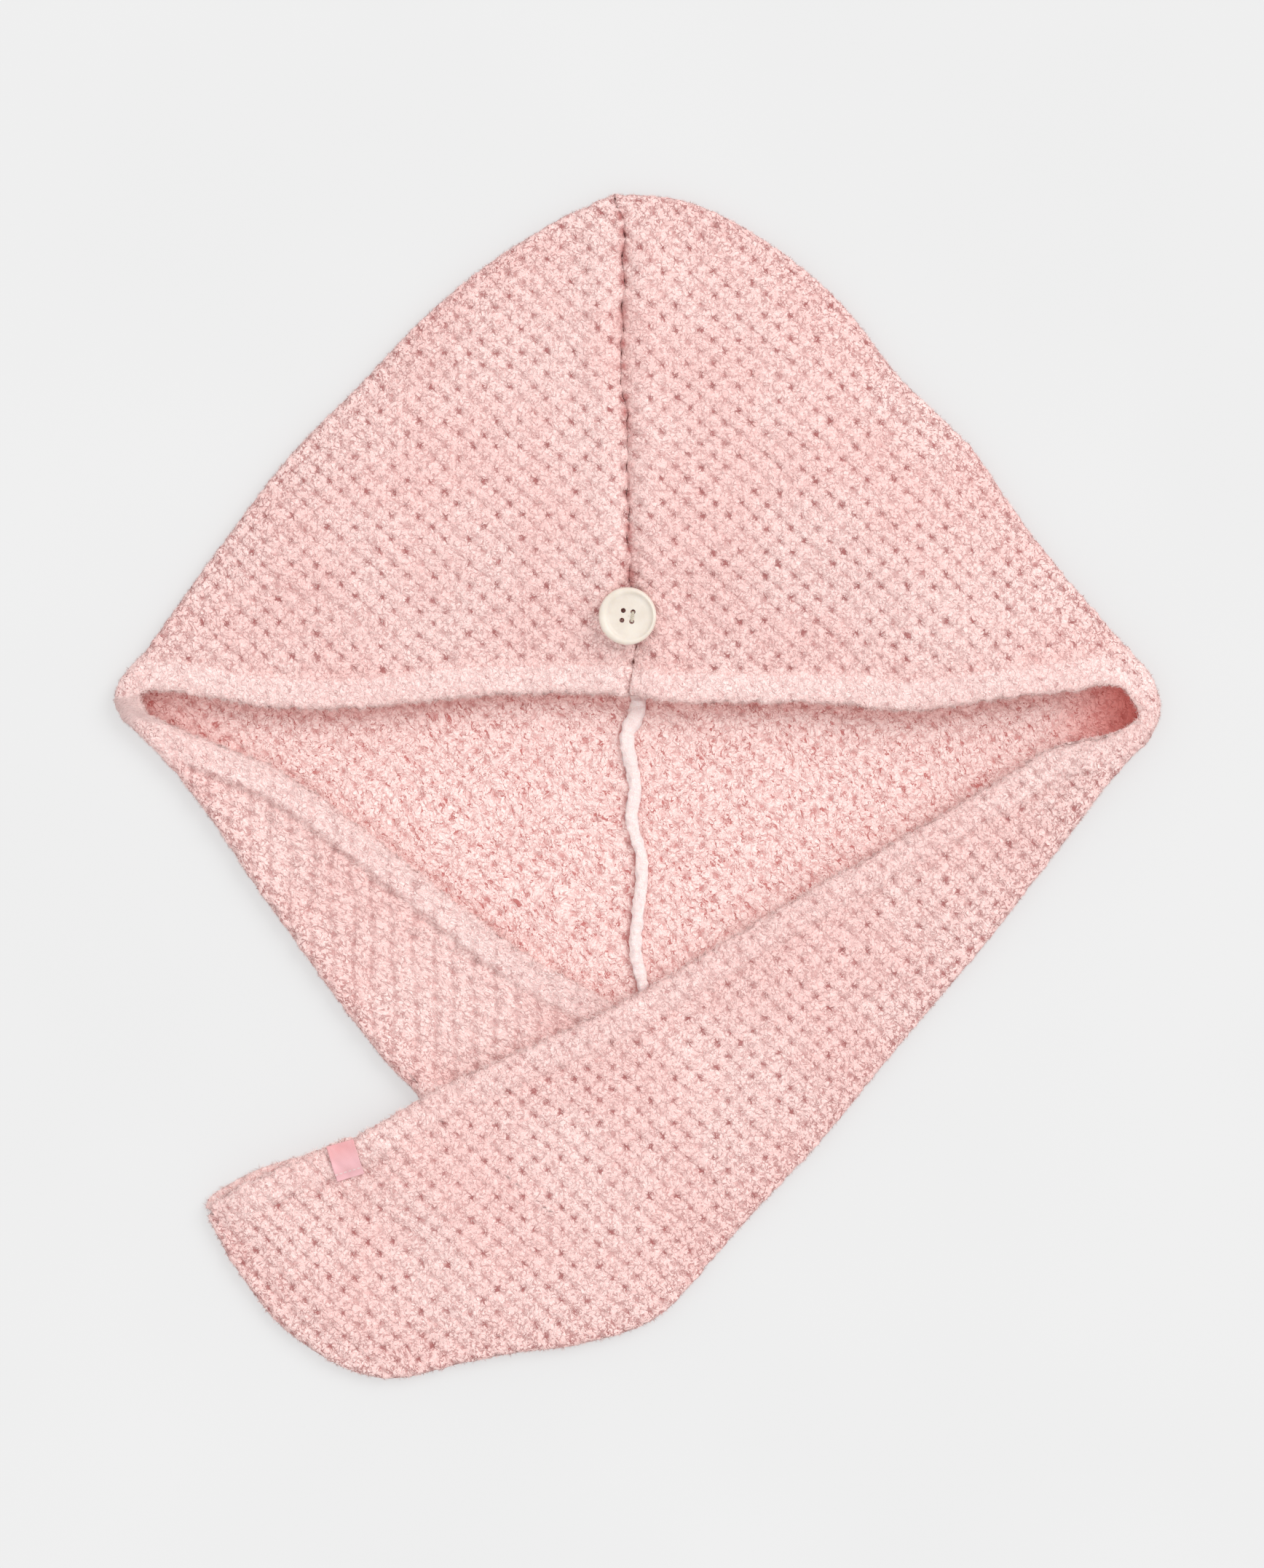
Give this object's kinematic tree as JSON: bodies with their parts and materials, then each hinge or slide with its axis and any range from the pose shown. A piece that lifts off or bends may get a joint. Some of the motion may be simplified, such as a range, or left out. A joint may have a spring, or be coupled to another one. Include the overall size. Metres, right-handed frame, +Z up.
{
  "type": "hair turban towel",
  "caption": "Hair turban towel laid flat: a waffle microfibre hood with an open mouth, a button on its front seam and a tapered tail folded across it.",
  "frame": {"origin": "middle of the laid towel's outline, on the surface that it lies on", "axes": "+Y towards the peak of the hood, +X to the right as seen from above, +Z up out of the surface"},
  "size_m": [0.427, 0.484, 0.0216],
  "materials": {
    "towel_cloth": "matt waffle pile",
    "seam_edge": "matt overlocked edge",
    "button": "satin",
    "thread": "matt thread",
    "label": "satin ribbon"
  },
  "bodies": {
    "root": {"left_panel": "towel_cloth", "right_panel": "towel_cloth", "seam_allowance": "seam_edge", "button": "button", "button_thread": "thread", "label": "label"}
  },
  "joints": []
}
